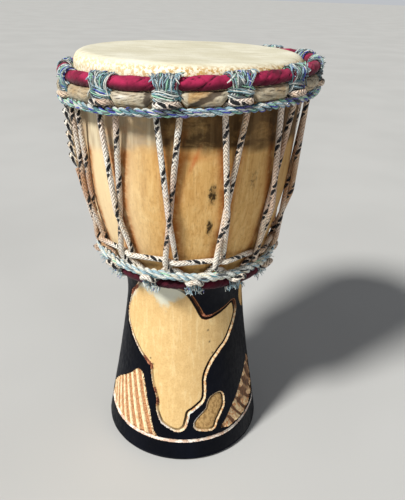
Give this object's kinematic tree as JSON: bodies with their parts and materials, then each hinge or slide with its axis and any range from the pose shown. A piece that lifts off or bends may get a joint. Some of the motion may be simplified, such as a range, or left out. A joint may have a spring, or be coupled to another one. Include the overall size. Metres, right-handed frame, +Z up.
{
  "type": "goblet drum",
  "caption": "Small carved goblet drum with a laced goatskin head, cloth-wrapped rings, yarn lashings and a black stem carved with a map outline",
  "frame": {"origin": "the middle of the foot's underside, on the surface that the drum stands on", "axes": "+Z up along the drum's axis, -Y towards the carved front, +X to the right seen from the front"},
  "size_m": [0.2338, 0.2347, 0.4016],
  "materials": {
    "shell_wood": "pale carved wood, smooth on the bowl, the stem painted matt black outside the bare carving",
    "goat_hide": "dry shaved goatskin, ivory on top, grey-brown with hair at the rolled rim",
    "red_cloth": "wrapped crimson cotton strip with slanting creases",
    "mixed_yarn": "loosely twisted thin yarns in pale blue, teal, mint, cobalt, grey and white",
    "cream_cord": "braided cream cord with short black tracer flecks"
  },
  "bodies": {
    "root": {"carved_shell": "shell_wood", "goatskin_head": "goat_hide", "crown_ring": "red_cloth", "upper_rope": "mixed_yarn", "tension_cord": "cream_cord", "lower_rope": "mixed_yarn", "base_ring": "red_cloth", "crown_lashing_01": "mixed_yarn", "crown_lashing_02": "mixed_yarn", "crown_lashing_03": "mixed_yarn", "crown_lashing_04": "mixed_yarn", "crown_lashing_05": "mixed_yarn", "crown_lashing_06": "mixed_yarn", "crown_lashing_07": "mixed_yarn", "crown_lashing_08": "mixed_yarn", "crown_lashing_09": "mixed_yarn", "crown_lashing_10": "mixed_yarn", "crown_lashing_11": "mixed_yarn", "crown_lashing_12": "mixed_yarn", "crown_lashing_13": "mixed_yarn", "base_lashing_01": "mixed_yarn", "base_lashing_02": "mixed_yarn", "base_lashing_03": "mixed_yarn", "base_lashing_04": "mixed_yarn", "base_lashing_05": "mixed_yarn", "base_lashing_06": "mixed_yarn", "base_lashing_07": "mixed_yarn", "base_lashing_08": "mixed_yarn", "base_lashing_09": "mixed_yarn", "base_lashing_10": "mixed_yarn", "base_lashing_11": "mixed_yarn", "base_lashing_12": "mixed_yarn", "base_lashing_13": "mixed_yarn"}
  },
  "joints": []
}
